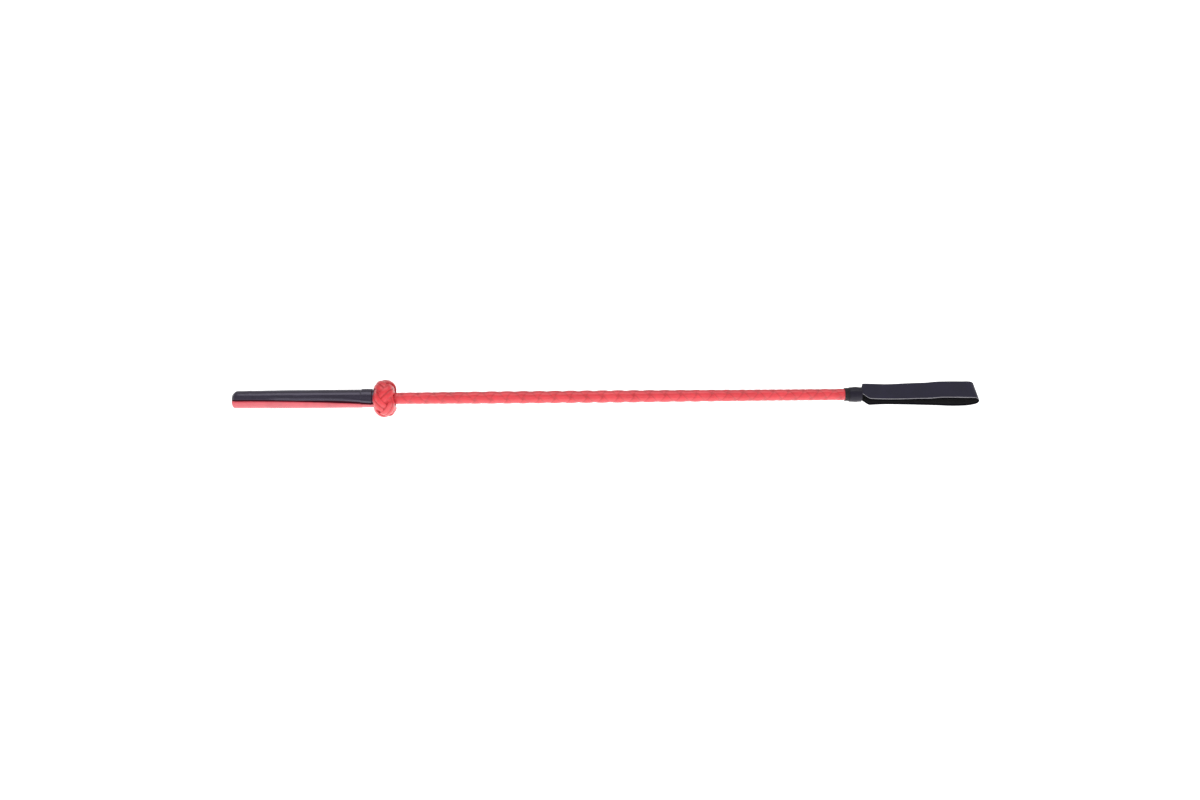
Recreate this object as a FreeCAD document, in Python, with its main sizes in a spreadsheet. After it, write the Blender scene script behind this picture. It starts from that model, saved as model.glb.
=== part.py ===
import FreeCAD, Part
import math
import os
from types import SimpleNamespace

# A short riding crop: padded two-colour leather handle, Turk's head knot, plaited
# shaft and a flap folded from one leather strip. The stick lies along +X with the
# butt face at x = 0, +Z is square to the flap, and lengths are millimetres.

SIZES = {
    # stations along the stick
    "crop_length": 650.0,
    "swell_end": 55.0,
    "band_start": 112.8,
    "band_end": 122.3,
    "grip_end": 125.4,
    "knot_middle": 133.2,
    "plait_start": 127.0,
    "plait_end": 537.5,
    "rod_start": 10.0,
    "rod_taper_start": 135.0,
    "rod_taper_end": 533.0,
    "rod_neck_end": 539.0,
    "rod_end": 548.5,
    "tip_whipping_start": 534.1,
    "keeper_start": 538.4,
    "keeper_end": 549.3,
    "tail_start": 539.5,
    "shoulder_start": 550.2,
    "bend_end": 554.2,
    # handle
    "butt_radius": 7.55,
    "grip_radius": 8.1,
    "band_radius": 8.65,
    "recess_radius": 7.85,
    "leather_thickness": 1.0,
    "padding_thickness": 0.8,
    "glue_gap": 0.1,
    "lip_thickness": 1.2,
    "lip_radius": 4.7,
    "butt_rounding": 2.0,
    "seam_turn": 19.0,
    # rod
    "rod_radius": 3.3,
    "rod_tip_radius": 2.75,
    "rod_neck_radius": 2.2,
    # knot
    "knot_half_width": 10.6,
    "knot_radius": 16.5,
    "knot_layer": 3.2,
    "knot_foot_radius": 8.95,
    "knot_mouth_radius": 5.85,
    "foundation_half_width": 7.2,
    "foundation_bore": 6.6,
    # plait
    "plait_lead": 26.8,
    "strand_axial_width": 11.6,
    "strand_thickness": 0.7,
    "inner_strand_radius": 3.65,
    "outer_strand_radius": 4.75,
    "plait_taper": 0.0765,
    # whippings and keeper
    "knot_whipping_start": 128.0,
    "knot_whipping_length": 4.0,
    "knot_whipping_radius": 6.4,
    "knot_whipping_bore": 5.8,
    "tip_whipping_radius": 5.8,
    "tip_whipping_bore": 5.25,
    "keeper_radius": 6.55,
    "keeper_bore": 5.75,
    # flap
    "flap_thickness": 1.7,
    "tail_width": 8.0,
    "flap_root_width": 20.6,
    "flap_tip_width": 22.7,
    "mouth_half_height": 3.95,
    "waist_at": 573.5,
    "waist_half_height": 3.1,
    "belly_at": 592.0,
    "belly_half_height": 3.65,
    "step_at": 611.0,
    "step_half_height": 4.1,
    "crest_at": 621.0,
    "crest_half_height": 4.9,
    "fold_length": 7.5,
    "fold_half_height": 4.7,
}


class Size:
    """A sheet value: its number, and the expression that is bound to it."""

    def __init__(self, number, text):
        self.number = number
        self.text = text

    def __add__(self, other):
        return Size(self.number + other.number, f"({self.text} + {other.text})")

    def __sub__(self, other):
        return Size(self.number - other.number, f"({self.text} - {other.text})")


doc = FreeCAD.newDocument("riding_crop")
sheet = doc.addObject("Spreadsheet::Sheet", "Sizes")
for row, (alias, number) in enumerate(SIZES.items(), 1):
    sheet.set(f"A{row}", alias)
    sheet.set(f"B{row}", str(number))
    sheet.setAlias(f"B{row}", alias)
doc.recompute()
s = SimpleNamespace(**{alias: Size(number, f"Sizes.{alias}") for alias, number in SIZES.items()})
ZERO = Size(0.0, "0")

# turns an object's own +Z to the stick's +X, with angles counted from +Y towards +Z
ALONG = FreeCAD.Rotation(FreeCAD.Vector(1, 1, 1), 120)
NODES = []


def node(piece, name):
    """Gives a finished sub-part the name of its file."""
    piece.Label = name
    NODES.append(piece)
    return piece


def bar(name, start, end, radius, end_radius=None, sweep=360):
    """Round bar along the stick; end_radius makes it a cone, sweep makes it a sector."""
    if end_radius is None:
        piece = doc.addObject("Part::Cylinder", name)
        piece.setExpression("Radius", radius.text)
    else:
        piece = doc.addObject("Part::Cone", name)
        piece.setExpression("Radius1", radius.text)
        piece.setExpression("Radius2", end_radius.text)
    piece.setExpression("Height", (end - start).text)
    piece.Angle = sweep
    piece.Placement = FreeCAD.Placement(FreeCAD.Vector(), ALONG)
    piece.setExpression("Placement.Base.x", start.text)
    return piece


def fuse(name, pieces):
    joined = doc.addObject("Part::MultiFuse", name)
    joined.Shapes = pieces
    joined.Refine = True
    return joined


def cut(name, base, tool):
    piece = doc.addObject("Part::Cut", name)
    piece.Base = base
    piece.Tool = tool
    return piece


def ring(name, start, end, radius, bore):
    return cut(name, bar(f"{name}_outer", start, end, radius), bar(f"{name}_bore", start, end, bore))


def block(name, start, end, width, low, high):
    """Flat strip piece along the stick, centred across it, between two heights."""
    piece = doc.addObject("Part::Box", name)
    piece.setExpression("Length", (end - start).text)
    piece.setExpression("Width", width.text)
    piece.setExpression("Height", (high - low).text)
    piece.setExpression("Placement.Base.x", start.text)
    piece.setExpression("Placement.Base.y", f"-{width.text} / 2")
    piece.setExpression("Placement.Base.z", low.text)
    return piece


def swelling(name, start, end, depth, sweep=360):
    """The handle's outer form, sunk by depth: a taper from the butt, then a straight stretch."""
    butt = s.butt_radius - depth
    grip = s.grip_radius - depth
    taper = bar(f"{name}_taper", start, s.swell_end, butt, grip, sweep)
    straight = bar(f"{name}_straight", s.swell_end, end, grip, sweep=sweep)
    return fuse(name, [taper, straight])


def core_rod():
    stretches = [
        bar("rod_handle_part", s.rod_start, s.rod_taper_start, s.rod_radius),
        bar("rod_taper", s.rod_taper_start, s.rod_taper_end, s.rod_radius, s.rod_tip_radius),
        bar("rod_neck", s.rod_taper_end, s.rod_neck_end, s.rod_tip_radius, s.rod_neck_radius),
        bar("rod_spigot", s.rod_neck_end, s.rod_end, s.rod_neck_radius),
    ]
    node(fuse("rod_whole", stretches), "core_rod")


def handle():
    """Wooden core in a padding sleeve; both stop short of the leather that turns in at the butt."""
    padding_depth = s.leather_thickness + s.glue_gap
    wood_depth = padding_depth + s.padding_thickness + s.glue_gap
    inside_lip = s.lip_thickness + s.glue_gap
    bore = bar("core_bore", s.rod_start, s.grip_end, s.rod_radius + s.glue_gap)
    wood = swelling("core_form", inside_lip, s.grip_end, wood_depth)
    node(cut("core_bored", wood, bore), "handle_core")
    sleeve = swelling("sleeve_form", inside_lip, s.grip_end, padding_depth)
    hollow = swelling("sleeve_hollow", inside_lip, s.grip_end, padding_depth + s.padding_thickness)
    node(cut("sleeve_hollowed", sleeve, hollow), "grip_padding")
    disc = bar("disc_round", ZERO, s.lip_thickness, s.lip_radius - s.glue_gap)
    node(disc, "butt_disc")


def grip_panel(name, turn, hem_radius):
    """Half of the leather cover, turned in round the butt, with a hem beside the knot."""
    outer = [
        swelling(f"{name}_form", ZERO, s.band_start, ZERO, sweep=180),
        bar(f"{name}_hem", s.band_start, s.band_end, hem_radius, sweep=180),
        bar(f"{name}_end", s.band_end, s.grip_end, s.recess_radius, sweep=180),
    ]
    inner = [
        swelling(f"{name}_hollow", s.lip_thickness, s.grip_end, s.leather_thickness),
        bar(f"{name}_mouth", ZERO, s.lip_thickness, s.lip_radius),
    ]
    shell = cut(f"{name}_shell", fuse(f"{name}_solid", outer), fuse(f"{name}_inside", inner))
    doc.recompute()
    rims = [
        number
        for number, edge in enumerate(shell.Shape.Edges, 1)
        if edge.BoundBox.XMax < 0.01
        and isinstance(edge.Curve, Part.Circle)
        and abs(edge.Curve.Radius - s.butt_radius.number) < 0.01
    ]
    rounded = doc.addObject("Part::Fillet", f"{name}_rounded")
    rounded.Base = shell
    rounded.Edges = [(number, SIZES["butt_rounding"], SIZES["butt_rounding"]) for number in rims]
    around = FreeCAD.Rotation(FreeCAD.Vector(1, 0, 0), turn)
    rounded.Placement = FreeCAD.Placement(FreeCAD.Vector(), around)
    node(rounded, name)


def turned_body(name, corners, arcs):
    """Body turned about the stick from an outline; arcs[i] is the middle of side i, if it is an arc."""
    body = doc.addObject("PartDesign::Body", f"{name}_body")
    sketch = body.newObject("Sketcher::SketchObject", f"{name}_outline")
    plane = next(f for f in body.Origin.OriginFeatures if f.Role == "XZ_Plane")
    sketch.AttachmentSupport = [(plane, "")]
    sketch.MapMode = "FlatFace"
    places = [FreeCAD.Vector(along.number, out.number, 0) for along, out in corners]
    for i, place in enumerate(places):
        after = places[(i + 1) % len(places)]
        if i in arcs:
            middle = FreeCAD.Vector(arcs[i][0], arcs[i][1], 0)
            sketch.addGeometry(Part.Arc(place, middle, after), False)
        else:
            sketch.addGeometry(Part.LineSegment(place, after), False)
    doc.recompute()
    turning = body.newObject("PartDesign::Revolution", f"{name}_turning")
    turning.Profile = sketch
    turning.ReferenceAxis = (sketch, ["H_Axis"])
    turning.Angle = 360
    node(body, name)


def crown_arc(foot_along, foot_out, crown_along, crown_out):
    """Middle point of an arc that leaves a foot and ends level at the crown."""
    reach = abs(foot_along - crown_along)
    rise = crown_out - foot_out
    radius = (reach**2 + rise**2) / (2 * rise)
    half = math.atan2(reach, radius - rise) / 2
    side = math.copysign(1, foot_along - crown_along)
    return (crown_along + side * radius * math.sin(half), crown_out - radius * (1 - math.cos(half)))


def knot():
    """The knot's envelope over the ring that it is tied on."""
    middle = s.knot_middle
    crown = s.knot_radius
    left = middle - s.knot_half_width
    right = middle + s.knot_half_width
    ring_left = middle - s.foundation_half_width
    ring_right = middle + s.foundation_half_width
    ring_crown = crown - s.knot_layer - s.glue_gap
    corners = [
        (left, s.knot_foot_radius),
        (middle, crown),
        (right, s.knot_mouth_radius),
        (ring_right + s.glue_gap, s.knot_mouth_radius),
        (middle, crown - s.knot_layer),
        (ring_left - s.glue_gap, s.knot_foot_radius),
    ]
    numbers = [(along.number, out.number) for along, out in corners]
    arcs = {
        0: crown_arc(*numbers[0], *numbers[1]),
        1: crown_arc(*numbers[2], *numbers[1]),
        3: crown_arc(*numbers[3], *numbers[4]),
        4: crown_arc(*numbers[5], *numbers[4]),
    }
    turned_body("knot_strand", corners, arcs)
    corners = [
        (ring_left, s.foundation_bore),
        (ring_left, s.knot_foot_radius),
        (middle, ring_crown),
        (ring_right, s.foundation_bore),
    ]
    numbers = [(along.number, out.number) for along, out in corners]
    arcs = {
        1: crown_arc(*numbers[1], *numbers[2]),
        2: crown_arc(*numbers[3], *numbers[2]),
    }
    turned_body("knot_foundation", corners, arcs)


def plait_strand(number, radius, left_handed, turn):
    """Flat ribbon wound round the rod; the two inner strands wind against the two outer ones."""
    spine = doc.addObject("Part::Helix", f"strand_{number}_spine")
    spine.setExpression("Pitch", s.plait_lead.text)
    spine.setExpression("Height", (s.plait_end - s.plait_start - s.strand_axial_width).text)
    spine.setExpression("Radius", radius.text)
    spine.setExpression("Angle", f"-{s.plait_taper.text}")
    spine.LocalCoord = int(left_handed)
    section = doc.addObject("Part::Plane", f"strand_{number}_section")
    section.setExpression("Length", s.strand_axial_width.text)
    section.setExpression("Width", s.strand_thickness.text)
    section.Placement = FreeCAD.Placement(
        FreeCAD.Vector(radius.number, 0, 0),
        FreeCAD.Rotation(FreeCAD.Vector(0, 0, 1), FreeCAD.Vector(1, 0, 0), FreeCAD.Vector(0, 1, 0), "XYZ"),
    )
    ribbon = doc.addObject("Part::Sweep", f"strand_{number}_ribbon")
    ribbon.Sections = [section]
    ribbon.Spine = (spine, [])
    ribbon.Solid = True
    ribbon.Frenet = True
    around = FreeCAD.Rotation(FreeCAD.Vector(1, 0, 0), turn)
    ribbon.Placement = FreeCAD.Placement(FreeCAD.Vector(), around.multiply(ALONG))
    ribbon.setExpression("Placement.Base.x", s.plait_start.text)
    node(ribbon, f"plait_strand_{number}")


def bindings():
    """Thread whippings at both ends of the plait, and the keeper over the flap's tails."""
    start = s.knot_whipping_start
    end = start + s.knot_whipping_length
    node(ring("knot_whipping", start, end, s.knot_whipping_radius, s.knot_whipping_bore), "whipping_at_knot")
    start = s.tip_whipping_start
    end = s.keeper_start - s.glue_gap
    node(ring("tip_whipping", start, end, s.tip_whipping_radius, s.tip_whipping_bore), "whipping_at_tip")
    node(ring("keeper", s.keeper_start, s.keeper_end, s.keeper_radius, s.keeper_bore), "keeper_wrap")


def flap_tail(name, low, high):
    """End of the flap strip: narrow under the keeper, then full width up to the bend."""
    tab = block(f"{name}_tab", s.tail_start, s.shoulder_start, s.tail_width, low, high)
    shoulder = block(f"{name}_shoulder", s.shoulder_start, s.bend_end, s.flap_root_width, low, high)
    node(fuse(f"{name}_strip", [tab, shoulder]), name)


def flap_side(depth):
    """Upper edge of the flap's side view, sunk by depth, as a curve through its stations."""
    stations = [
        (s.bend_end, s.mouth_half_height),
        (s.waist_at, s.waist_half_height),
        (s.belly_at, s.belly_half_height),
        (s.step_at, s.step_half_height),
        (s.crest_at, s.crest_half_height),
        (s.crop_length - s.fold_length, s.fold_half_height),
    ]
    places = [FreeCAD.Vector(along.number, 0, up.number - depth) for along, up in stations]
    curve = Part.BSplineCurve()
    level = FreeCAD.Vector(1, 0, 0)
    curve.interpolate(Points=places, InitialTangent=level, FinalTangent=level)
    return curve


def flap_loop():
    """The strip's fold: two leaves that close in a waist, open again and meet in an oval nose."""
    profile = doc.addObject("Part::Feature", "flap_side_view")
    fold_at = SIZES["crop_length"] - SIZES["fold_length"]
    edges = []
    for depth in (0.0, SIZES["flap_thickness"]):
        upper = flap_side(depth).toShape()
        lower = upper.mirror(FreeCAD.Vector(), FreeCAD.Vector(0, 0, 1))
        nose = FreeCAD.Vector(fold_at + SIZES["fold_length"] - depth, 0, 0)
        top = FreeCAD.Vector(fold_at, 0, SIZES["fold_half_height"] - depth)
        oval = Part.Ellipse(nose, top, FreeCAD.Vector(fold_at, 0, 0))
        fold = Part.ArcOfEllipse(oval, -math.pi / 2, math.pi / 2)
        edges += [upper, lower, fold.toShape()]
    root = SIZES["bend_end"]
    outer_height = SIZES["mouth_half_height"]
    inner_height = outer_height - SIZES["flap_thickness"]
    for side in (1, -1):
        ends = [FreeCAD.Vector(root, 0, side * up) for up in (outer_height, inner_height)]
        edges.append(Part.LineSegment(*ends).toShape())
    profile.Shape = Part.Face(Part.Wire(Part.__sortEdges__(edges)))
    leaves = doc.addObject("Part::Extrusion", "flap_leaves")
    leaves.Base = profile
    leaves.DirMode = "Custom"
    leaves.Dir = FreeCAD.Vector(0, 1, 0)
    leaves.setExpression("LengthFwd", s.flap_tip_width.text)
    leaves.Symmetric = True
    leaves.Solid = True
    plan = doc.addObject("Part::Wedge", "flap_plan")
    plan.setExpression("Ymin", s.bend_end.text)
    plan.setExpression("Ymax", s.crop_length.text)
    for start, width in (("X", s.flap_root_width), ("X2", s.flap_tip_width)):
        plan.setExpression(f"{start}min", f"-{width.text} / 2")
        plan.setExpression(f"{start}max", f"{width.text} / 2")
    for start in ("Z", "Z2"):
        plan.setExpression(f"{start}min", f"-{s.crest_half_height.text} * 2")
        plan.setExpression(f"{start}max", f"{s.crest_half_height.text} * 2")
    plan.Placement = FreeCAD.Placement(FreeCAD.Vector(), FreeCAD.Rotation(FreeCAD.Vector(0, 0, 1), -90))
    loop = doc.addObject("Part::Common", "flap_trimmed")
    loop.Base = leaves
    loop.Tool = plan
    node(loop, "flap_loop")


core_rod()
handle()
grip_panel("grip_panel_black", -SIZES["seam_turn"], s.band_radius)
grip_panel("grip_panel_red", 180 - SIZES["seam_turn"], s.recess_radius)
knot()
for index in range(4):
    outer = index >= 2
    layer = s.outer_strand_radius if outer else s.inner_strand_radius
    plait_strand(index + 1, layer, left_handed=outer, turn=180 * (index % 2) + 90 * outer)
bindings()
top = s.mouth_half_height
bottom = top - s.flap_thickness
flap_tail("flap_tail_upper", bottom, top)
flap_tail("flap_tail_lower", ZERO - top, ZERO - bottom)
flap_loop()
doc.recompute()

for thing in doc.Objects:
    if "Invalid" in thing.State or "Error" in thing.State:
        raise RuntimeError(f"{thing.Name} did not recompute: {thing.State}")
os.makedirs("parts", exist_ok=True)
for piece in NODES:
    if piece.Shape.isNull() or not piece.Shape.isValid():
        raise RuntimeError(f"{piece.Label} has no valid shape")
    piece.Shape.exportStep(f"parts/{piece.Label}.step")
    print(f"{piece.Label:20} {len(piece.Shape.Solids)} solid {piece.Shape.Volume:10.1f} mm3")
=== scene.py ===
import math

import bmesh
import bpy
import numpy as np
from mathutils import Matrix, Vector, noise


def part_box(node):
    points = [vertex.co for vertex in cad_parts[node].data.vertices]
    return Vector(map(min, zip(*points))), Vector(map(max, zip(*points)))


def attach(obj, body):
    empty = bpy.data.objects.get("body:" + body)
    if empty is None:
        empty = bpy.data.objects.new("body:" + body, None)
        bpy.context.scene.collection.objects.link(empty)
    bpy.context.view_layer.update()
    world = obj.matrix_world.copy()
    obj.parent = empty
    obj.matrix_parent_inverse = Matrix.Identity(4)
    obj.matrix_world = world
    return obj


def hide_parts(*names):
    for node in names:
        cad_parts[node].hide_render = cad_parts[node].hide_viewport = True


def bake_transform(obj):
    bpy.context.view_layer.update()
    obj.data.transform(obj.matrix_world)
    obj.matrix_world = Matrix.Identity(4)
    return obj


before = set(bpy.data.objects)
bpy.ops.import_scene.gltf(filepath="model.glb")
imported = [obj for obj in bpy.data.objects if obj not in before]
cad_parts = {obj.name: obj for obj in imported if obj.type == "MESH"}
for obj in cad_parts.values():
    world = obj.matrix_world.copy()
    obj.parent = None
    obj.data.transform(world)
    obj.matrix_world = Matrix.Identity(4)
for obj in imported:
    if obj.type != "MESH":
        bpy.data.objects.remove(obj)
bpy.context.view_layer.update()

# Sizes are in metres. +X runs along the stick from the butt, +Z is square to the flap,
# and angles about the stick are counted from +Y towards +Z.
MM = 0.001


def span(node):
    """Start, end and greatest radius of a CAD node about the stick."""
    low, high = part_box(node)
    return low.x, high.x, max(high.y, -low.y, high.z, -low.z)


_, GRIP_END, BAND_RADIUS = span("grip_panel_black")
_, DISC_END, DISC_RADIUS = span("butt_disc")
KNOT_START, KNOT_END, KNOT_RADIUS = span("knot_strand")
PLAIT_START, PLAIT_END, _ = span("plait_strand_3")
WHIPPING_START, _, WHIPPING_RADIUS = span("whipping_at_tip")
KEEPER_START, KEEPER_END, KEEPER_RADIUS = span("keeper_wrap")
TAIL_LOW, TAIL_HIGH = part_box("flap_tail_upper")
LOOP_LOW, LOOP_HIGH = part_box("flap_loop")
KNOT_MIDDLE = (KNOT_START + KNOT_END) / 2
KNOT_HALF = (KNOT_END - KNOT_START) / 2


# ---------------------------------------------------------------- mesh building


def smooth_step(a, b, value):
    """0 up to a, 1 from b on, and a smooth rise between them."""
    t = np.clip((value - a) / (b - a), 0.0, 1.0)
    return t * t * (3 - 2 * t)


def grid_mesh(name, points, uvs=None, wrap_rows=False, wrap_columns=False, caps=False):
    """Smooth mesh from a grid of points; wrapping joins the last row or column to the first."""
    rows, columns = points.shape[:2]
    index = np.arange(rows * columns).reshape(rows, columns).tolist()
    faces = []
    corners = []
    for i in range(rows if wrap_rows else rows - 1):
        here, below = index[i], index[(i + 1) % rows]
        for j in range(columns if wrap_columns else columns - 1):
            beside = (j + 1) % columns
            faces.append((here[j], here[beside], below[beside], below[j]))
            corners.extend(((i, j), (i, j + 1), (i + 1, j + 1), (i + 1, j)))
    if caps:
        faces.append(index[0][::-1])
        faces.append(index[-1])
    mesh = bpy.data.meshes.new(name)
    mesh.from_pydata(points.reshape(-1, 3).tolist(), [], faces)
    if uvs is not None:
        layer = mesh.uv_layers.new(name="UVMap")
        loops = np.zeros((len(mesh.loops), 2), np.float32)
        at = np.array(corners)
        loops[: len(at)] = uvs[at[:, 0], at[:, 1]]
        layer.data.foreach_set("uv", loops.ravel())
    mesh.update()
    obj = bpy.data.objects.new(name, mesh)
    bpy.context.scene.collection.objects.link(obj)
    mesh.polygons.foreach_set("use_smooth", [True] * len(mesh.polygons))
    outward(mesh)
    return obj


def outward(mesh):
    """Turns every face outwards, whichever way its grid ran."""
    work = bmesh.new()
    work.from_mesh(mesh)
    bmesh.ops.recalc_face_normals(work, faces=work.faces)
    work.to_mesh(mesh)
    work.free()


def polar(x, radius, angle):
    """Points about the stick from a station, a radius and an angle in radians."""
    x, radius, angle = np.broadcast_arrays(x, radius, angle)
    return np.stack([x, radius * np.cos(angle), radius * np.sin(angle)], axis=-1)


def unevenness(points, size, amount):
    """Smooth random height over points, about size long and amount high."""
    flat = points.reshape(-1, 3) / size
    heights = [noise.noise(Vector(p)) for p in flat]
    return np.array(heights).reshape(points.shape[:-1]) * amount


def running_length(path):
    """Length along a line of points, at each of them."""
    steps = np.linalg.norm(np.diff(path, axis=0), axis=1)
    return np.concatenate([[0], np.cumsum(steps)])


def unit(vectors):
    """The vectors' directions, each one long."""
    return vectors / np.linalg.norm(vectors, axis=1)[:, None]


def section_loop(width, thickness, roundness, across, corner=4):
    """Rounded flat section as (side, height) pairs, counted round from the lower right corner."""
    half_width, half_height = width / 2, thickness / 2
    r = min(roundness, half_height * 0.98, half_width * 0.98)
    flat = np.linspace(half_width - r, r - half_width, across + 1)[1:-1]
    pairs = []
    for side, up, start in ((1, -1, -90), (1, 1, 0), (-1, 1, 90), (-1, -1, 180)):
        centre, middle = side * (half_width - r), up * (half_height - r)
        for step in range(corner + 1):
            a = math.radians(start + 90 * step / corner)
            pairs.append((centre + r * math.cos(a), middle + r * math.sin(a)))
        if side == up:
            pairs.extend((side * s, up * half_height) for s in flat)
    return np.array(pairs)


# ---------------------------------------------------------------- materials

HIDE_PATCH, MOTTLE, CREASE, PORE = 18 * MM, 3.5 * MM, 1.6 * MM, 0.25 * MM
WHITE = (1.0, 1.0, 1.0)


class Nodes:
    """Short way to build a material's node tree."""

    def __init__(self, name):
        self.material = bpy.data.materials.new(name)
        self.material.use_nodes = True
        self.tree = self.material.node_tree
        self.shader = self.tree.nodes["Principled BSDF"]

    def add(self, kind, inputs=None, **settings):
        made = self.tree.nodes.new(kind)
        for key, value in settings.items():
            setattr(made, key, value)
        for key, value in (inputs or {}).items():
            if isinstance(value, bpy.types.NodeSocket):
                self.tree.links.new(value, made.inputs[key])
            else:
                made.inputs[key].default_value = value
        return made

    def link(self, source, socket):
        self.tree.links.new(source, self.shader.inputs[socket])

    def set(self, **values):
        """Sets the shader's sockets; an underscore in a name stands for a space."""
        for socket, value in values.items():
            self.shader.inputs[socket.replace("_", " ")].default_value = value

    def place(self, kind="Object"):
        return self.add("ShaderNodeTexCoord").outputs[kind]

    def ramp(self, source, stops):
        made = self.add("ShaderNodeValToRGB", {"Fac": source})
        for element, (place, value) in zip(made.color_ramp.elements, stops):
            element.position = place
            element.color = (*value, 1.0)
        return made.outputs["Color"]

    def noise(self, where, scale, detail=3.0, rough=0.55, distortion=0.0):
        made = self.add(
            "ShaderNodeTexNoise",
            {"Vector": where, "Scale": scale, "Detail": detail, "Roughness": rough, "Distortion": distortion},
        )
        return made.outputs["Fac"]

    def math(self, operation, a, b):
        return self.add("ShaderNodeMath", {0: a, 1: b}, operation=operation).outputs[0]

    def blend(self, a, b, share):
        """Sum of two values, with share of it from the first and the rest from the second."""
        return self.math("ADD", self.math("MULTIPLY", a, share), self.math("MULTIPLY", b, 1 - share))

    def darken(self, colour, shade):
        made = self.add("ShaderNodeMix", {"Factor": 1.0}, data_type="RGBA", blend_type="MULTIPLY")
        self.tree.links.new(colour, made.inputs[6])
        self.tree.links.new(shade, made.inputs[7])
        return made.outputs[2]

    def bump(self, height, strength, distance):
        made = self.add("ShaderNodeBump", {"Strength": strength, "Distance": distance, "Height": height})
        self.link(made.outputs["Normal"], "Normal")


def leather(
    name,
    dark,
    light,
    gloss,
    grain=0.25,
    grain_size=0.55 * MM,
    coat=(0.0, 0.3, 1.5),
    specular=0.3,
    tint=WHITE,
    sides=None,
):
    """Grained leather: pebbles and pores as bump, tone and gloss that drift over the hide.

    gloss is the lowest and highest roughness, coat is (weight, roughness, IOR), and sides
    is the colour that a strand is darkened to towards its two edges: painted shade for the creases between
    strands.
    """
    n = Nodes(name)
    where = n.place()
    drift = n.noise(where, 1 / HIDE_PATCH, 4.0)
    mottle = n.noise(where, 1 / MOTTLE, 5.0, 0.6)
    colour = n.ramp(n.blend(drift, mottle, 0.6), [(0.32, dark), (0.68, light)])
    pebble = n.add(
        "ShaderNodeTexVoronoi",
        {"Vector": where, "Scale": 1 / grain_size, "Smoothness": 0.7},
        feature="SMOOTH_F1",
    ).outputs["Distance"]
    pores = n.noise(where, 1 / PORE, 4.0, 0.6)
    creases = n.noise(where, 1 / CREASE, 6.0, 0.62, 0.6)
    height = n.math("ADD", n.math("MULTIPLY", pebble, 0.6), n.math("MULTIPLY", pores, 0.25))
    height = n.math("ADD", height, n.math("MULTIPLY", creases, 0.5))
    n.bump(height, grain, 0.12 * MM)
    colour = n.darken(colour, n.ramp(pebble, [(0.0, (0.88, 0.88, 0.88)), (0.6, WHITE)]))
    # Painted shade: the colour darkens towards a strand's two edges, where the creases between strands lie.
    if sides is not None:
        across = n.add("ShaderNodeSeparateXYZ", {0: n.place("UV")}).outputs["Y"]
        across = n.math("ADD", n.math("ABSOLUTE", across, 0.0), n.math("MULTIPLY", mottle, 0.10))
        colour = n.darken(colour, n.ramp(across, [(0.62, WHITE), (1.0, sides)]))
    n.link(colour, "Base Color")
    low, high = gloss
    n.link(n.ramp(mottle, [(0.3, (low, low, low)), (0.75, (high, high, high))]), "Roughness")
    weight, roughness, ior = coat
    n.set(Specular_IOR_Level=specular, Specular_Tint=(*tint, 1.0))
    n.set(Coat_Weight=weight, Coat_Roughness=roughness, Coat_IOR=ior)
    return n.material


def fibred_edge_and_painted_light(name, dark, light, specular):
    """Cut edge of a thick strap: layered fibres, scuffed in patches; the script also uses it for the painted
    seam shade and the painted rim highlight.
    """
    n = Nodes(name)
    where = n.place()
    layered = n.add("ShaderNodeMapping", {"Vector": where, "Scale": (0.25, 1, 3.0)}).outputs[0]
    fibres = n.noise(layered, 1 / (0.5 * MM), 5.0, 0.65)
    scuff = n.noise(where, 1 / (6 * MM), 3.0)
    n.link(n.ramp(n.blend(fibres, scuff, 0.6), [(0.3, dark), (0.7, light)]), "Base Color")
    n.bump(fibres, 0.6, 0.15 * MM)
    n.set(Roughness=0.7, Specular_IOR_Level=specular)
    return n.material


def suede(name, dark, light, sheen=0.25):
    """Flesh side of leather: short matted fibres."""
    n = Nodes(name)
    where = n.place()
    nap = n.noise(where, 1 / (0.35 * MM), 6.0, 0.7, 0.8)
    patches = n.noise(where, 1 / (8 * MM), 3.0)
    n.link(n.ramp(n.blend(nap, patches, 0.55), [(0.3, dark), (0.7, light)]), "Base Color")
    n.bump(nap, 0.7, 0.2 * MM)
    n.set(Roughness=0.9, Sheen_Weight=sheen)
    return n.material


def thread_material(name, dark, light):
    """Waxed twine, with its plies running slantwise across it."""
    n = Nodes(name)
    plies = n.add(
        "ShaderNodeTexWave",
        {"Vector": n.place("UV"), "Scale": 1.0, "Distortion": 1.2, "Detail": 2.0, "Detail Scale": 2.0},
        wave_type="BANDS",
        bands_direction="DIAGONAL",
    ).outputs["Fac"]
    n.link(n.ramp(plies, [(0.15, dark), (0.85, light)]), "Base Color")
    n.bump(plies, 0.8, 0.1 * MM)
    n.set(Roughness=0.5)
    return n.material


def plain_grained(name, dark, light, size, roughness, stretch=(1.0, 1.0, 1.0), strength=0.3):
    """Simple grained stuff for the pieces inside: wood, felt, glass fibre."""
    n = Nodes(name)
    where = n.add("ShaderNodeMapping", {"Vector": n.place(), "Scale": stretch}).outputs[0]
    grain = n.noise(where, 1 / size, 6.0, 0.65, 0.5)
    n.link(n.ramp(grain, [(0.3, dark), (0.7, light)]), "Base Color")
    n.bump(grain, strength, 0.1 * MM)
    n.set(Roughness=roughness)
    return n.material


def painted_floor():
    """Nearly white paint that glows a little, so that the shadows on it stay faint."""
    n = Nodes("floor_paint")
    patches = n.noise(n.place(), 8.0, 2.0)
    n.link(n.ramp(patches, [(0.3, (0.93, 0.93, 0.93)), (0.7, (0.96, 0.96, 0.96))]), "Base Color")
    n.set(Roughness=0.8, Specular_IOR_Level=0.2)
    n.set(Emission_Color=(*WHITE, 1.0), Emission_Strength=0.6)
    return n.material


# Painted shade for the creases: plait and knot strands darken to this colour towards their edges.
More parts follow.
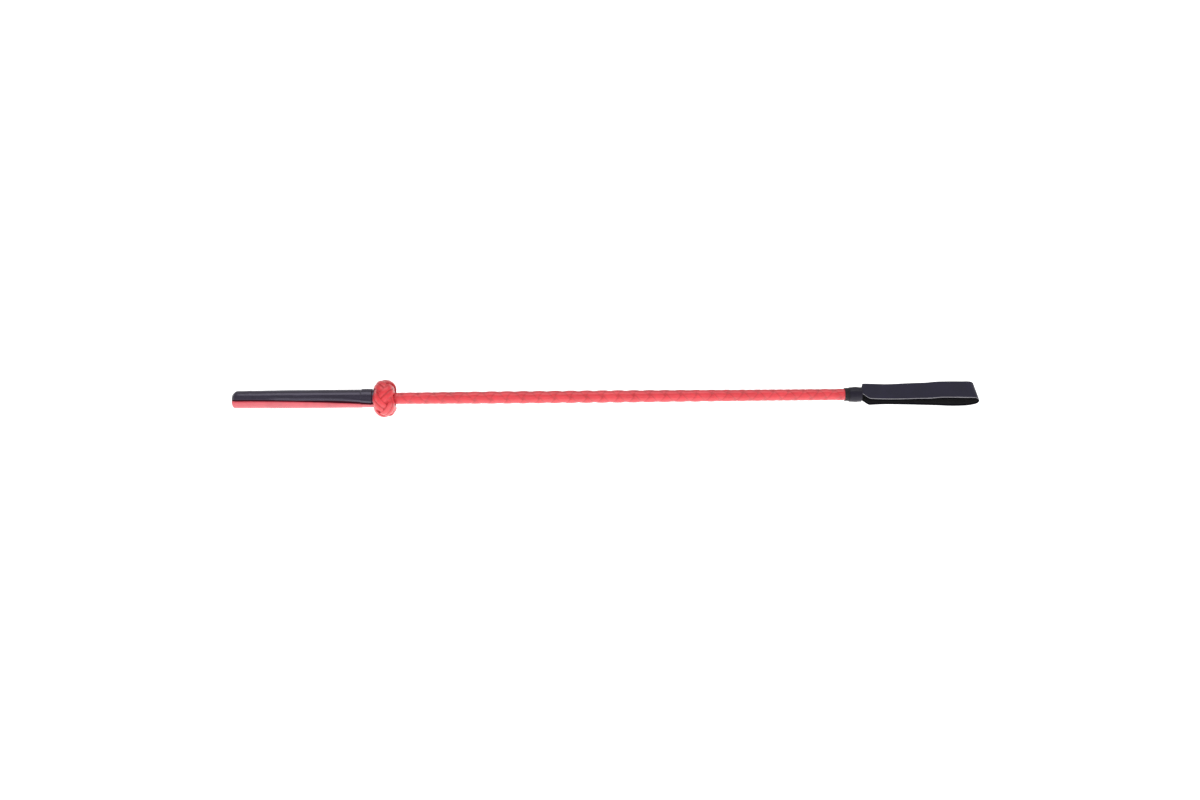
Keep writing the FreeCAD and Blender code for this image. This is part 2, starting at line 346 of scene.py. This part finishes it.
RED_CREASE_SHADE = (0.72, 0.42, 0.46)
black_leather = leather(
    "black_leather",
    (0.010, 0.007, 0.015),
    (0.022, 0.017, 0.032),
    (0.18, 0.28),
    specular=0.95,
    tint=(0.86, 0.81, 1.0),
)
flap_leather = leather(
    "flap_leather",
    (0.006, 0.005, 0.018),
    (0.014, 0.011, 0.034),
    (0.46, 0.62),
    grain=0.3,
    grain_size=0.8 * MM,
    specular=0.35,
)
red_leather = leather(
    "red_leather", (0.50, 0.026, 0.046), (0.64, 0.046, 0.072), (0.30, 0.46), coat=(1.0, 0.25, 1.8)
)
plait_leather = leather(
    "plait_leather",
    (0.60, 0.018, 0.030),
    (0.78, 0.038, 0.054),
    (0.40, 0.55),
    grain=0.2,
    coat=(1.0, 0.30, 1.68),
    specular=0.2,
    sides=RED_CREASE_SHADE,
)
knot_leather = leather(
    "knot_leather",
    (0.60, 0.010, 0.020),
    (0.82, 0.028, 0.044),
    (0.40, 0.55),
    grain=0.35,
    coat=(1.0, 0.34, 1.7),
    specular=0.2,
    sides=RED_CREASE_SHADE,
)
keeper_leather = leather(
    "keeper_leather",
    (0.006, 0.005, 0.011),
    (0.014, 0.011, 0.024),
    (0.45, 0.6),
    coat=(0.45, 0.3, 1.5),
    specular=0.1,
)
# Painted shade: near-black maroon for the black panel's strips beside both seams, standing in for the shade
# along the seam.
painted_seam_shade = fibred_edge_and_painted_light("painted_seam_shade", (0.020, 0.001, 0.004), (0.045, 0.003, 0.009), 0.05)
# Painted highlight: pale grey on the strip's rounded outer rims, standing in for the light line that the rims
# catch.
painted_rim_highlight = fibred_edge_and_painted_light("painted_rim_highlight", (0.16, 0.155, 0.17), (0.40, 0.39, 0.42), 0.3)
# Black cut edge, partly painted shade: coloured darker than the strip's grain side to stand in for the shade
# the edges lie in.
flap_edge_and_shade = fibred_edge_and_painted_light("flap_cut_edge_and_shade", (0.002, 0.0018, 0.003), (0.007, 0.0065, 0.010), 0.0)
flesh_side = suede("flap_flesh_side", (0.004, 0.0035, 0.005), (0.012, 0.011, 0.014), 0.05)
waxed_thread = thread_material("waxed_thread", (0.006, 0.004, 0.006), (0.020, 0.015, 0.020))
fibreglass = plain_grained(
    "fibreglass", (0.55, 0.55, 0.47), (0.75, 0.74, 0.66), 1.2 * MM, 0.35, stretch=(0.05, 1.0, 1.0)
)
handle_wood = plain_grained(
    "handle_wood", (0.32, 0.17, 0.08), (0.52, 0.32, 0.17), 1.5 * MM, 0.6, stretch=(0.08, 1.0, 1.0)
)
felt = plain_grained("felt_padding", (0.13, 0.13, 0.12), (0.24, 0.23, 0.21), 0.6 * MM, 0.95, strength=0.8)
knot_base_leather = suede("knot_base_leather", (0.36, 0.008, 0.014), (0.52, 0.015, 0.024))

for node_name, material in (
    ("core_rod", fibreglass),
    ("handle_core", handle_wood),
    ("grip_padding", felt),
    ("knot_foundation", knot_base_leather),
    ("whipping_at_knot", waxed_thread),
):
    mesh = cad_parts[node_name].data
    mesh.materials.clear()
    mesh.materials.append(material)


def finish_piece(obj, body, slot, replaced, *materials):
    """Gives a piece its materials, its body and the nodes that it stands for; slot is not used."""
    for material in materials:
        obj.data.materials.append(material)
    if body:
        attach(obj, body)
    if replaced:
        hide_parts(*replaced)


# ---------------------------------------------------------------- handle

BUTT_RADIUS = 7.55 * MM
GRIP_RADIUS = 8.1 * MM
RECESS_RADIUS = 7.85 * MM
SWELL_END = 55 * MM
BAND_START = 112.3 * MM
BAND_END = KNOT_START - 0.3 * MM
LIP_RADIUS = DISC_RADIUS + 0.1 * MM
LEATHER = 1.0 * MM
CUFF_END = 16 * MM
NEAR_SEAM, FAR_SEAM = 151.5, 331.5
SEAM_TURN = math.radians(30)
SEAM_QUICKENING = 2.2
HEM_AT_BUTT, HEM_AT_KNOT = 2.2 * MM, 3.8 * MM
# The strips beside each seam are EDGE_SHARE_OF_HEM of the hem's distance wide and carry the black panel's
# painted seam shade.
EDGE_SHARE_OF_HEM = 0.55
EDGE_COLUMNS, MIDDLE_COLUMNS = 12, 90


def grip_radius(x, band_radius):
    """Outside of a panel: it swells from the butt, then takes the band's radius, then the recess's."""
    swell = smooth_step(-0.3 * SWELL_END, SWELL_END, x)
    start = smooth_step(-0.3 * SWELL_END, SWELL_END, 0.0)
    radius = BUTT_RADIUS + (GRIP_RADIUS - BUTT_RADIUS) * (swell - start) / (1 - start)
    radius += (band_radius - GRIP_RADIUS) * smooth_step(BAND_START - 0.4 * MM, BAND_START + 0.5 * MM, x)
    return radius + (RECESS_RADIUS - band_radius) * smooth_step(BAND_END - 0.7 * MM, BAND_END, x)


def grip_profile(band_radius, rounding):
    """Closed outline of a panel's wall from the lip outwards: (station, radius, share of relief)."""
    turn = BUTT_RADIUS - rounding
    lip = [(DISC_END, LIP_RADIUS, 0.0), (0.15 * MM, LIP_RADIUS, 0.0), (0.0, LIP_RADIUS + 0.15 * MM, 0.3)]
    face = [(0.0, radius, 0.6) for radius in np.linspace(LIP_RADIUS + 0.6 * MM, turn, 5)]
    corner = [
        (rounding * (1 - math.cos(angle)), turn + rounding * math.sin(angle), 1.0)
        for angle in np.linspace(0, math.pi / 2, 10)[1:]
    ]
    stations = np.concatenate(
        [
            np.linspace(rounding + 0.5 * MM, SWELL_END, 60),
            np.linspace(SWELL_END, BAND_START - 1.2 * MM, 60)[1:],
            np.linspace(BAND_START - 1.1 * MM, BAND_END + 0.2 * MM, 40),
            np.linspace(BAND_END + 0.4 * MM, GRIP_END, 8),
        ]
    )
    outside = [(x, grip_radius(x, band_radius), 1.0) for x in stations]
    end = [(GRIP_END, RECESS_RADIUS - LEATHER, 0.0)]
    inside = [
        (x, BUTT_RADIUS - LEATHER + (GRIP_RADIUS - BUTT_RADIUS) * x / SWELL_END, 0.0)
        for x in np.linspace(SWELL_END, DISC_END, 8)
    ]
    return np.array(lip + face + corner + outside + end + inside)


def seam_angle(x, at_butt):
    """Where the two panels meet: the seam turns round the handle, ever faster towards the knot."""
    return math.radians(at_butt) + SEAM_TURN * np.clip(x / BAND_END, 0, 1) ** SEAM_QUICKENING


def hem_distance(x):
    """How far the turned hem lies from the seam."""
    return HEM_AT_BUTT + (HEM_AT_KNOT - HEM_AT_BUTT) * smooth_step(50 * MM, 105 * MM, x)


def grip_panel(name, first, last, band_radius, rounding, details, cuff):
    """One leather panel from seam to seam; details(x, from_first, from_last) is its relief."""
    profile = grip_profile(band_radius, rounding)
    x, radius, relief_share = (profile[:, i][:, None] for i in range(3))
    start, end = seam_angle(x, first), seam_angle(x, last)
    edge_width = EDGE_SHARE_OF_HEM * hem_distance(x) / (radius * (end - start))
    edge = edge_width * np.linspace(0, 1, EDGE_COLUMNS, endpoint=False)
    middle = edge_width + (1 - 2 * edge_width) * np.linspace(0, 1, MIDDLE_COLUMNS)
    angle = start + (end - start) * np.concatenate([edge, middle, 1 - edge[:, ::-1]], axis=1)
    rest = polar(x, radius, angle)
    relief = details(np.broadcast_to(x, angle.shape), (angle - start) * radius, (end - angle) * radius)
    relief = relief + unevenness(rest, 9 * MM, 0.10 * MM) + unevenness(rest, 2.5 * MM, 0.035 * MM)
    relief = relief + cuff * (1 - smooth_step(CUFF_END - 0.4 * MM, CUFF_END + 0.5 * MM, x))
    points = polar(x, radius + relief * relief_share, angle)
    along = np.cumsum(np.hypot(np.gradient(profile[:, 0]), np.gradient(profile[:, 1])))
    uvs = np.stack(np.broadcast_arrays(along[:, None] * 100, angle), axis=-1)
    uvs = np.concatenate([uvs, uvs[-1:]], axis=0)
    obj = grid_mesh(name, points.transpose(1, 0, 2), uvs.transpose(1, 0, 2), wrap_columns=True, caps=True)
    mark_seam_edges(obj, angle.shape[1] - 1, len(profile))
    return obj


def mark_seam_edges(obj, strips, stations):
    """Gives the second material to the strips of faces beside both seams and to the cut ends; on the black
    panel that is the painted seam shade.
    """
    strip = np.arange(strips)
    on_edge = (strip < EDGE_COLUMNS) | (strip >= strips - EDGE_COLUMNS)
    materials = np.ones(len(obj.data.polygons), np.int32)
    materials[: strips * stations] = np.repeat(on_edge, stations)
    obj.data.polygons.foreach_set("material_index", materials)


def rolled(distance, size):
    """How far an edge is rolled down: 1 on the edge, 0 from size inwards."""
    t = np.clip(1 - distance / size, 0, 1)
    return t * t


def black_relief(x, from_first, from_last):
    """Turned hems along both seams: a narrow ridge with a channel on each side of it."""
    hem = hem_distance(x)
    fade = 0.25 + 0.75 * smooth_step(20 * MM, 45 * MM, x)
    relief = np.full_like(from_first, 0.05 * MM)
    for distance in (from_first, from_last):
        ridge = np.exp(-(((distance - hem) / (0.55 * MM)) ** 2))
        groove = np.exp(-(((distance - hem - 1.9 * MM) / (1.0 * MM)) ** 2))
        channel = np.exp(-(((distance - 0.5 * hem) / (0.30 * hem)) ** 2))
        relief = relief + (0.30 * ridge - 0.22 * groove - 0.16 * channel) * fade * MM
        relief = relief - 0.5 * MM * rolled(distance, 0.55 * MM)
    return relief


def red_relief(x, from_first, from_last):
    """Plain surface, set a little lower than the black panel's and rolled down at both seams."""
    relief = np.full_like(from_first, -0.05 * MM)
    for distance in (from_first, from_last):
        relief = relief - 0.45 * MM * rolled(distance, 0.9 * MM)
    return relief


grip_black = grip_panel(
    "grip_black", FAR_SEAM - 360, NEAR_SEAM, BAND_RADIUS, 4.0 * MM, black_relief, 0.14 * MM
)
# The black panel's second material is the painted seam shade on the strips beside its seams.
finish_piece(grip_black, "stick", "black_leather", ["grip_panel_black"], black_leather, painted_seam_shade)
grip_red = grip_panel("grip_red", NEAR_SEAM, FAR_SEAM, RECESS_RADIUS, 1.2 * MM, red_relief, 0.10 * MM)
finish_piece(grip_red, "stick", "red_leather", ["grip_panel_red"], red_leather, red_leather)


def butt_disc():
    """Domed leather disc with a pressed ring, closing the butt."""
    depth = 0.35 * MM
    rows = []
    for share in np.linspace(0.02, 1, 22):
        dome = depth * (1 - share**2)
        ring = 0.22 * MM * math.exp(-(((share - 0.74) / 0.07) ** 2))
        edge = depth * max(0.0, (share - 0.9) / 0.1) ** 2
        rows.append((depth - dome + ring + edge, DISC_RADIUS * share))
    rows.append((DISC_END, DISC_RADIUS))
    rows.append((DISC_END, DISC_RADIUS * 0.02))
    rows = np.array(rows)
    angle = np.linspace(0, 2 * math.pi, 64, endpoint=False)
    points = polar(rows[:, 0][:, None], rows[:, 1][:, None], angle[None, :])
    return grid_mesh("butt_leather_disc", points, wrap_columns=True, caps=True)


finish_piece(butt_disc(), "stick", "black_leather", ["butt_disc"], black_leather)


# ---------------------------------------------------------------- Turk's head knot

LEADS, BIGHTS = 3, 5
RING_RADIUS = 7.2 * MM
KNOT_RISE = KNOT_RADIUS - RING_RADIUS
KNOT_REACH = KNOT_HALF - 1.1 * MM
KNOT_CENTRE = KNOT_MIDDLE - 0.6 * MM
ARCH_RADIUS = (KNOT_RISE + KNOT_HALF) / 2
THONG_WIDTH = 5.6 * MM
THONG_THICKNESS = 1.3 * MM
THONG_EDGE = 0.45 * MM
THONG_CROWN = 0.35 * MM
PASS_SPACING = 5.5 * MM
KNOT_WAVE = 0.75 * MM
KNOT_SINK = 1.35 * MM
SWING = math.radians(63)
KNOT_TURN = math.radians(10)
PAD_TOP, PAD_BOTTOM = -1.4 * MM, -3.0 * MM
PAD_TILT = 1.1


def knot_place(around, tilt, height):
    """Point on the knot's rounded ring: around the stick, tilted over the ring, raised by height."""
    x = KNOT_CENTRE + (KNOT_REACH + height) * np.sin(tilt)
    return polar(x, RING_RADIUS + (KNOT_RISE + height) * np.cos(tilt), around)


def knot_thong(name, shift):
    """One closed pass of the thong: three turns round the stick that swing over the ring five times."""
    t = np.linspace(0, 2 * math.pi, 720, endpoint=False)
    around = LEADS * t + KNOT_TURN
    tilt = SWING * np.cos(BIGHTS * t)
    mean_radius = RING_RADIUS + KNOT_RISE * np.cos(tilt)
    speed_around = LEADS * mean_radius
    speed_over = -SWING * BIGHTS * np.sin(BIGHTS * t) * ARCH_RADIUS
    speed = np.hypot(speed_around, speed_over)
    section = section_loop(THONG_WIDTH, THONG_THICKNESS, THONG_EDGE, across=10)
    side, up = section[:, 0][None, :], section[:, 1][None, :]
    crown = THONG_CROWN * (1 - (2 * side / THONG_WIDTH) ** 2)
    offset = side + shift
    around = around[:, None] - offset * (speed_over / speed)[:, None] / mean_radius[:, None]
    tilt = tilt[:, None] + offset * (speed_around / speed)[:, None] / ARCH_RADIUS
    wave = KNOT_WAVE * np.sin(2 * BIGHTS * t)[:, None]
    points = knot_place(around, tilt, wave + up + crown - KNOT_SINK)
    length = np.cumsum(speed) * (t[1] - t[0])
    uvs = np.stack(np.broadcast_arrays(length[:, None] * 100, 2 * side / THONG_WIDTH), axis=-1)
    uvs = np.concatenate([uvs, uvs[-1:]], axis=0)
    uvs = np.concatenate([uvs, uvs[:, :1]], axis=1)
    return grid_mesh(name, points, uvs, wrap_rows=True, wrap_columns=True)


def knot_pad():
    """Soft leather strip between the thongs and the ring that they are tied over."""
    tilt = np.linspace(-PAD_TILT, PAD_TILT, 25)
    around = np.linspace(0, 2 * math.pi, 96, endpoint=False)
    outer = knot_place(around[None, :], tilt[:, None], PAD_TOP)
    inner = knot_place(around[None, :], tilt[::-1, None], PAD_BOTTOM)
    return grid_mesh("knot_pad", np.concatenate([outer, inner]), wrap_rows=True, wrap_columns=True)


finish_piece(knot_pad(), "stick", "red_leather", [], knot_leather)
for name, side in (("knot_thong_first_pass", -1), ("knot_thong_second_pass", 1)):
    thong = knot_thong(name, side * PASS_SPACING / 2)
    finish_piece(thong, "stick", "red_leather", ["knot_strand"], knot_leather)


# ---------------------------------------------------------------- plait

# The lay of the plait, as (station, length of one turn of a strand) in millimetres.
PLAIT_LEADS = ((120, 29.0), (240, 27.9), (330, 27.6), (420, 27.0), (540, 25.8))
STRAND = 0.58 * MM
WEAVE = 0.30 * MM
CROWN = 0.42 * MM
CROWN_FLATNESS = 2.4
EDGE_ROLL = 0.14 * MM
EDGE_ROLL_FROM = 0.88
HALF_WIDTH = math.radians(89)
STRAND_COLUMNS = 23
STRAND_STEP = 0.55 * MM
# The plait as a whole is twisted: its angle at one station, and its turn for each metre.
TWIST_STATION = 312 * MM
TWIST_THERE = math.radians(140)
TWIST_PER_METRE = math.radians(-262)
MEETING_THERE = math.radians(262)


def shaft_radius(x):
    """Outside of the plait: slimmer beside the knot, fullest in the middle, slim at the tip."""
    stations = np.array([130, 160, 230, 330, 400, 450, 540]) * MM
    radii = np.array([5.25, 5.35, 5.65, 5.65, 5.45, 5.25, 5.2]) * MM
    return np.interp(x, stations, radii)


def plait_phase(x):
    """How far the two sets of strands have turned past each other at each station."""
    stations = np.arange(100, 560, 1.0)
    leads = np.interp(stations, *zip(*PLAIT_LEADS))
    phase = np.cumsum(4 * math.pi / leads)
    phase -= np.interp(TWIST_STATION / MM, stations, phase)
    return np.interp(x / MM, stations, phase) + MEETING_THERE


def strand(name, direction, start):
    """One flat strand of the plait: it winds one way and dips under each strand it meets in turn."""
    x = np.arange(PLAIT_START + 1.5 * MM, PLAIT_END, STRAND_STEP)[:, None]
    twist = TWIST_THERE + TWIST_PER_METRE * (x - TWIST_STATION)
    even = np.linspace(-HALF_WIDTH, HALF_WIDTH, STRAND_COLUMNS)
    crowded = np.sin(np.linspace(-math.pi / 2, math.pi / 2, STRAND_COLUMNS)) * HALF_WIDTH
    across = (0.5 * even + 0.5 * crowded)[None, :]
    own = start + across
    turned = plait_phase(x)
    angle = direction * (own + turned / 2) + twist
    share = across / HALF_WIDTH
    roll = np.clip((np.abs(share) - EDGE_ROLL_FROM) / (1 - EDGE_ROLL_FROM), 0, 1) ** 2
    top = shaft_radius(x) - WEAVE - CROWN
    top = top + direction * WEAVE * np.cos(own + turned - start)
    top = top + CROWN * (1 - np.abs(share) ** CROWN_FLATNESS) - EDGE_ROLL * roll
    top = top + unevenness(polar(x, top, angle), 2.2 * MM, 0.05 * MM)
    outer = polar(x, top, angle)
    inner = polar(x, top - STRAND * (1 - 0.35 * np.abs(share) ** 4), angle)
    points = np.concatenate([outer, inner[:, ::-1]], axis=1)
    uvs = np.stack(np.broadcast_arrays(x * 160, share), axis=-1)
    uvs = np.concatenate([uvs, uvs[:, ::-1], uvs[:, :1]], axis=1)
    return grid_mesh(name, points, uvs, wrap_columns=True, caps=True)


for number, (direction, start) in enumerate(((1, 0.0), (1, math.pi), (-1, 0.0), (-1, math.pi)), 1):
    plait_thong = strand(f"plait_thong_{number}", direction, start)
    finish_piece(plait_thong, "stick", "red_leather", [f"plait_strand_{number}"], plait_leather)


# ---------------------------------------------------------------- whipping and keeper

THREAD_RADIUS = 0.34 * MM
THREAD_PITCH = 1.9 * THREAD_RADIUS
BAND_THICKNESS = 0.8 * MM
BAND_EDGE = 0.38 * MM
LAP = math.radians(70)
LAP_START = math.radians(250)


def tube_along(name, path, radius, sides=12):
    """Round tube that follows a line of points round the stick."""
    tangent = unit(np.gradient(path, axis=0))
    side = unit(np.cross(tangent, unit(path * np.array([0.0, 1.0, 1.0]))))
    out = np.cross(side, tangent)
    angle = np.linspace(0, 2 * math.pi, sides, endpoint=False)[None, :, None]
    points = path[:, None] + radius * (np.cos(angle) * out[:, None] + np.sin(angle) * side[:, None])
    length = running_length(path)[:, None] / radius / 3
    uvs = np.stack(np.broadcast_arrays(length, np.linspace(0, 2, sides + 1)[None, :]), axis=-1)
    return grid_mesh(name, points, uvs, wrap_columns=True, caps=True)


def tip_whipping():
    """Waxed thread wound side by side over the end of the plait and just into the keeper."""
    length = TAIL_LOW.x - WHIPPING_START - 2.3 * THREAD_RADIUS
    turns = int(length / THREAD_PITCH)
    angle = np.linspace(0, 2 * math.pi * turns, 48 * turns + 1)
    x = WHIPPING_START + THREAD_RADIUS + length * angle / angle[-1]
    return tube_along("tip_whipping_thread", polar(x, WHIPPING_RADIUS - THREAD_RADIUS, angle), THREAD_RADIUS)


finish_piece(tip_whipping(), "stick", "thread", ["whipping_at_tip"], waxed_thread)


def keeper():
    """Leather band wound once round the flap's tails; its skived end laps over the start."""
    length = KEEPER_END - KEEPER_START
    section = section_loop(length, BAND_THICKNESS, BAND_EDGE, across=20)
    side, up = section[:, 0][None, :], section[:, 1][None, :]
    turn = 2 * math.pi
    angle = np.linspace(0, turn + LAP, 150)[:, None]
    over = smooth_step(turn - 0.6, turn + 0.15, angle)
    thin = 1 - 0.55 * smooth_step(turn + LAP - 0.35, turn + LAP, angle)
    thin = thin * (1 - 0.6 * (1 - smooth_step(0, 0.5, angle)))
    bulge = 0.16 * MM * np.cos(2 * math.pi * side / length)
    middle = KEEPER_RADIUS - BAND_THICKNESS / 2 - 0.09 * MM * (1 - over) + 0.42 * MM * over
    radius = middle + up * thin + bulge
    x = (KEEPER_START + KEEPER_END) / 2 + side
    points = polar(x, radius, angle + LAP_START)
    points = polar(x, radius + unevenness(points, 3 * MM, 0.12 * MM), angle + LAP_START)
    uvs = np.stack(np.broadcast_arrays(angle, side * 100), axis=-1)
    uvs = np.concatenate([uvs, uvs[:, :1]], axis=1)
    return grid_mesh("keeper_band", points, uvs, wrap_columns=True, caps=True)


finish_piece(keeper(), "stick", "black_leather", ["keeper_wrap"], keeper_leather)


# ---------------------------------------------------------------- flap

FLAP_THICKNESS = TAIL_HIGH.z - TAIL_LOW.z
ROOT_WIDTH = TAIL_HIGH.y - TAIL_LOW.y
TIP_WIDTH = LOOP_HIGH.y - LOOP_LOW.y
TAB_WIDTH = 8.0 * MM
NEAR_SHOULDER, FAR_SHOULDER = 6.5 * MM, 2.4 * MM
RIM = 0.5 * MM
TIP = LOOP_HIGH.x
# Side view of the fold's middle line, as (distance past the tip, height) in millimetres.
FOLD_SHAPE = (
    (-9, 3.98),
    (-5.4, 3.95),
    (-3.2, 3.6),
    (-1.9, 2.75),
    (-1.1, 1.65),
    (-0.8, 0.45),
    (-1.1, -0.85),
    (-2.3, -1.85),
    (-4.6, -2.70),
    (-7.4, -3.35),
    (-9.4, -3.70),
)


def leaf_heights(x, upper):
    """Distance of a leaf's middle line from the stick's axis at each station."""
    if upper:
        stations = (537, 548, 555, 563, 571.5, 580, 590, 600, 608, 613, 618, 625, 632, 639)
        outside = (3.95, 3.95, 3.9, 3.4, 3.1, 3.25, 3.65, 3.8, 4.0, 4.55, 4.9, 4.98, 4.95, 4.75)
    else:
        stations = (537, 548, 555, 563, 571.5, 580, 590, 600, 612, 622, 632, 639)
        outside = (3.95, 3.95, 3.85, 3.4, 3.15, 3.3, 3.6, 3.9, 4.5, 4.9, 5.0, 4.8)
    return np.interp(x / MM, stations, outside) * MM - FLAP_THICKNESS / 2


def flap_path():
    """Middle line of the strip seen from the side: out along the top, round the fold, back below."""
    x = np.arange(TAIL_LOW.x, TIP - 10 * MM, 0.9 * MM)
    upper = np.stack([x, leaf_heights(x, True)], axis=1)
    lower = np.stack([x, -leaf_heights(x, False)], axis=1)[::-1]
    fold = np.array(FOLD_SHAPE) * MM + np.array([TIP, 0.0])
    share = np.linspace(0, 1, 34)
    corners = np.linspace(0, 1, len(fold))
    fold = np.stack([np.interp(share, corners, fold[:, i]) for i in range(2)], axis=1)
    path = np.concatenate([upper, fold, lower])
    for _ in range(5):
        path[1:-1] = 0.25 * path[:-2] + 0.5 * path[1:-1] + 0.25 * path[2:]
    return path


def shoulder(x, length):
    """How far the strip has widened from the tab in the keeper to its full width."""
    return smooth_step(KEEPER_END + 0.2 * MM, KEEPER_END + length, x)[:, None] ** 0.6


def flap_kinds(section):
    """Material of each face round the section: 0 grain side, 1 rim with a painted highlight, 2 cut edge
    darkened as painted shade, 3 flesh side.
    """
    middle = (section + np.roll(section, -1, axis=0)) / 2
    on_side = np.abs(middle[:, 0]) > ROOT_WIDTH / 2 - RIM
    on_rim = on_side & (middle[:, 1] > FLAP_THICKNESS / 2 - 0.8 * RIM)
    inside = middle[:, 1] < 0.01 * MM - FLAP_THICKNESS / 2
    return np.where(on_rim, 1, np.where(on_side, 2, np.where(inside, 3, 0)))


def flap_across(x, side):
    """Where each point of the section lies across the strip, which widens from tab to tip."""
    width = ROOT_WIDTH + (TIP_WIDTH - ROOT_WIDTH) * np.clip((x - KEEPER_END) / (TIP - KEEPER_END), 0, 1)
    widened = np.where(side < 0, shoulder(x, NEAR_SHOULDER), shoulder(x, FAR_SHOULDER))
    width = TAB_WIDTH + (width[:, None] - TAB_WIDTH) * widened
    from_edge = ROOT_WIDTH / 2 - np.abs(side)
    return np.where(
        from_edge < RIM,
        np.sign(side) * (width / 2 - from_edge),
        side * (width - 2 * RIM) / (ROOT_WIDTH - 2 * RIM),
    )


def flap():
    """The whole strip in one piece, out along the top, round the fold and back below."""
    path = flap_path()
    tangent = unit(np.gradient(path, axis=0))
    section = section_loop(ROOT_WIDTH, FLAP_THICKNESS, RIM, across=24)
    side, up = section[:, 0][None, :], section[:, 1][None, :]
    across = flap_across(path[:, 0], side)
    x = path[:, 0][:, None] - tangent[:, 1][:, None] * up
    height = path[:, 1][:, None] + tangent[:, 0][:, None] * up
    patch = np.stack([x, across * 0.6, np.sign(height) * 0.05], axis=-1)
    loose = smooth_step(KEEPER_END + 4 * MM, KEEPER_END + 18 * MM, x)
    height = height + unevenness(patch, 14 * MM, 0.28 * MM) * loose
    uvs = np.stack(np.broadcast_arrays(running_length(path)[:, None] * 100, across * 100), axis=-1)
    uvs = np.concatenate([uvs, uvs[:, :1]], axis=1)
    obj = grid_mesh("flap_strip", np.stack([x, across, height], axis=-1), uvs, wrap_columns=True, caps=True)
    faces = (len(path) - 1) * len(section)
    materials = np.zeros(len(obj.data.polygons), np.int32)
    materials[:faces] = np.tile(flap_kinds(section), len(path) - 1)
    obj.data.polygons.foreach_set("material_index", materials)
    return obj


flap_strip = flap()
finish_piece(
    flap_strip,
    None,
    "black_leather",
    ["flap_tail_upper", "flap_tail_lower", "flap_loop"],
    flap_leather,
    painted_rim_highlight,
    flap_edge_and_shade,
    flesh_side,
)
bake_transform(flap_strip)


# ---------------------------------------------------------------- floor, light, camera

FLAP_LIMIT = math.radians(45)
FLOOR_GAP = 5 * MM
FLOOR_REACH = 12.0
HORIZON, ZENITH = 0.7, 0.4
ZENITH_FROM = 0.8
LIT_PLACE = (0.32, 0, 0)
CAMERA_ELEVATION = math.radians(40)
CAMERA_DISTANCE = 1.094
CAMERA_DROP = 0.0030
CAMERA_LENS = 37.5
CAMERA_ROLL = math.radians(-0.5)
AIM = Vector((0.3206, 0.0, 0.0))


def floor():
    """Pale floor, low enough for the flap to hang at its limit without touching it."""
    flap_drop = (TIP - KEEPER_END) * math.sin(FLAP_LIMIT) - LOOP_LOW.z
    corners = [(x * FLOOR_REACH, y * FLOOR_REACH, 0) for x, y in ((-1, -1), (1, -1), (1, 1), (-1, 1))]
    mesh = bpy.data.meshes.new("floor")
    mesh.from_pydata(corners, [], [(0, 1, 2, 3)])
    mesh.materials.append(painted_floor())
    obj = bpy.data.objects.new("floor", mesh)
    bpy.context.scene.collection.objects.link(obj)
    obj.location = (KNOT_MIDDLE, 0, -flap_drop - FLOOR_GAP)


def area_light(name, place, size, watts, mirrored=True):
    """Soft rectangular light; one that isn't mirrored gives no highlight of its own."""
    light = bpy.data.lights.new(name, "AREA")
    light.shape = "RECTANGLE"
    light.size, light.size_y = size
    light.energy = watts
    obj = bpy.data.objects.new(name, light)
    bpy.context.scene.collection.objects.link(obj)
    obj.location = place
    obj.rotation_euler = (Vector(LIT_PLACE) - Vector(place)).to_track_quat("-Z", "Y").to_euler()
    obj.visible_glossy = mirrored


def surround():
    """Even white surround that is brightest at the horizon and dimmer overhead."""
    world = bpy.data.worlds.new("studio")
    bpy.context.scene.world = world
    world.use_nodes = True
    tree = world.node_tree
    where = tree.nodes.new("ShaderNodeTexCoord")
    split = tree.nodes.new("ShaderNodeSeparateXYZ")
    shade = tree.nodes.new("ShaderNodeMapRange")
    shade.inputs["From Min"].default_value = 0.0
    shade.inputs["From Max"].default_value = ZENITH_FROM
    shade.inputs["To Min"].default_value = HORIZON
    shade.inputs["To Max"].default_value = ZENITH
    tree.links.new(where.outputs["Generated"], split.inputs[0])
    tree.links.new(split.outputs["Z"], shade.inputs["Value"])
    tree.links.new(shade.outputs["Result"], tree.nodes["Background"].inputs["Strength"])
    tree.nodes["Background"].inputs["Color"].default_value = (*WHITE, 1.0)


def lighting():
    """Soft studio light: a wide one in front and above, and a weaker one overhead."""
    area_light("front", (0.35, -1.1, 0.85), (1.8, 0.9), 13, mirrored=False)
    area_light("overhead", (0.32, 0.35, 1.3), (1.6, 0.8), 5.0)
    view = bpy.context.scene.view_settings
    view.view_transform = "Standard"
    view.look = "None"


def camera():
    """Camera in front of the stick and above it, turned a little about its own axis."""
    data = bpy.data.cameras.new("camera")
    data.lens = CAMERA_LENS
    data.sensor_width = 36
    data.clip_end = 50
    obj = bpy.data.objects.new("camera", data)
    bpy.context.scene.collection.objects.link(obj)
    back = Vector((0, -math.cos(CAMERA_ELEVATION), math.sin(CAMERA_ELEVATION)))
    up = Vector((0, math.sin(CAMERA_ELEVATION), math.cos(CAMERA_ELEVATION)))
    obj.location = AIM - up * CAMERA_DROP + back * CAMERA_DISTANCE
    roll = Matrix.Rotation(CAMERA_ROLL, 4, "Z")
    look = (-back).to_track_quat("-Z", "Y").to_matrix().to_4x4()
    obj.rotation_euler = (look @ roll).to_euler()
    bpy.context.scene.camera = obj


floor()
surround()
lighting()
camera()
